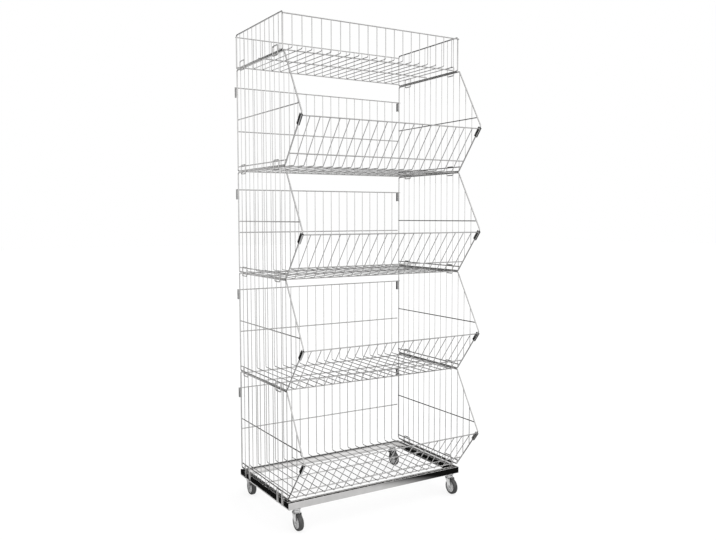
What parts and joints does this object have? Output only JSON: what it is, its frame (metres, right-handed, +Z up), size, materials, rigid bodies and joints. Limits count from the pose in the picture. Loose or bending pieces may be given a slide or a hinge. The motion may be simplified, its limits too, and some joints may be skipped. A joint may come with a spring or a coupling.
{
  "type": "retail dump bin",
  "caption": "Wheeled display tower of stacked chrome wire dump baskets with open slanted fronts, under a shallow wire tray, on a tube base with swivel castors",
  "frame": {"origin": "on the floor, under the middle of the whole object's bounding box", "axes": "+Z up, -Y towards the open front where the baskets' noses stick out, +X to the right as seen from the front"},
  "size_m": [0.922, 0.6726, 2.154],
  "materials": {
    "chrome_wire": "bright chrome plate on round steel wire",
    "chrome_tube": "bright chrome plate on rectangular tube",
    "clip_steel": "chrome plated folded sheet",
    "zinc": "zinc plated pressed steel",
    "hub_plastic": "moulded light grey plastic",
    "tyre_rubber": "dark grey non-marking tread"
  },
  "bodies": {
    "tower": {"base_rail_front": "chrome_tube", "base_rail_back": "chrome_tube", "base_rail_left": "chrome_tube", "base_rail_right": "chrome_tube", "base_seat_left": "chrome_wire", "base_seat_right": "chrome_wire", "castor_fl_pin": "zinc", "castor_fr_pin": "zinc", "castor_bl_pin": "zinc", "castor_br_pin": "zinc", "tier1_side_left": "chrome_wire", "tier1_side_right": "chrome_wire", "tier1_grid_floor": "chrome_wire", "tier1_grid_back": "chrome_wire", "tier1_grid_front": "chrome_wire", "tier1_clip_left": "clip_steel", "tier1_clip_right": "clip_steel", "tier2_side_left": "chrome_wire", "tier2_side_right": "chrome_wire", "tier2_grid_floor": "chrome_wire", "tier2_grid_back": "chrome_wire", "tier2_grid_front": "chrome_wire", "tier2_clip_left": "clip_steel", "tier2_clip_right": "clip_steel", "tier3_side_left": "chrome_wire", "tier3_side_right": "chrome_wire", "tier3_grid_floor": "chrome_wire", "tier3_grid_back": "chrome_wire", "tier3_grid_front": "chrome_wire", "tier3_clip_left": "clip_steel", "tier3_clip_right": "clip_steel", "tier4_side_left": "chrome_wire", "tier4_side_right": "chrome_wire", "tier4_grid_floor": "chrome_wire", "tier4_grid_back": "chrome_wire", "tier4_grid_front": "chrome_wire", "tier4_clip_left": "clip_steel", "tier4_clip_right": "clip_steel", "tray_side_left": "chrome_wire", "tray_side_right": "chrome_wire", "tray_grid_floor": "chrome_wire", "tray_grid_front": "chrome_wire", "tray_grid_back": "chrome_wire"},
    "castor_fl": {"castor_fl_fork": "zinc", "castor_fl_axle": "zinc"},
    "wheel_fl": {"castor_fl_hub": "hub_plastic", "castor_fl_tyre": "tyre_rubber"},
    "castor_fr": {"castor_fr_fork": "zinc", "castor_fr_axle": "zinc"},
    "wheel_fr": {"castor_fr_hub": "hub_plastic", "castor_fr_tyre": "tyre_rubber"},
    "castor_bl": {"castor_bl_fork": "zinc", "castor_bl_axle": "zinc"},
    "wheel_bl": {"castor_bl_hub": "hub_plastic", "castor_bl_tyre": "tyre_rubber"},
    "castor_br": {"castor_br_fork": "zinc", "castor_br_axle": "zinc"},
    "wheel_br": {"castor_br_hub": "hub_plastic", "castor_br_tyre": "tyre_rubber"}
  },
  "joints": [
    {"name": "castor_fl_swivel", "type": "hinge", "parent": "tower", "child": "castor_fl", "pos_m": [-0.409, -0.17769, 0.082], "axis": [0, 0, 1], "continuous": true},
    {"name": "wheel_fl_roll", "type": "hinge", "parent": "castor_fl", "child": "wheel_fl", "pos_m": [-0.409, -0.19269, 0.036], "axis": [1, 0, 0], "continuous": true},
    {"name": "castor_fr_swivel", "type": "hinge", "parent": "tower", "child": "castor_fr", "pos_m": [0.409, -0.17769, 0.082], "axis": [0, 0, 1], "continuous": true},
    {"name": "wheel_fr_roll", "type": "hinge", "parent": "castor_fr", "child": "wheel_fr", "pos_m": [0.409, -0.19269, 0.036], "axis": [1, 0, 0], "continuous": true},
    {"name": "castor_bl_swivel", "type": "hinge", "parent": "tower", "child": "castor_bl", "pos_m": [-0.409, 0.31531, 0.082], "axis": [0, 0, 1], "continuous": true},
    {"name": "wheel_bl_roll", "type": "hinge", "parent": "castor_bl", "child": "wheel_bl", "pos_m": [-0.409, 0.30031, 0.036], "axis": [1, 0, 0], "continuous": true},
    {"name": "castor_br_swivel", "type": "hinge", "parent": "tower", "child": "castor_br", "pos_m": [0.409, 0.31531, 0.082], "axis": [0, 0, 1], "continuous": true},
    {"name": "wheel_br_roll", "type": "hinge", "parent": "castor_br", "child": "wheel_br", "pos_m": [0.409, 0.30031, 0.036], "axis": [1, 0, 0], "continuous": true}
  ]
}
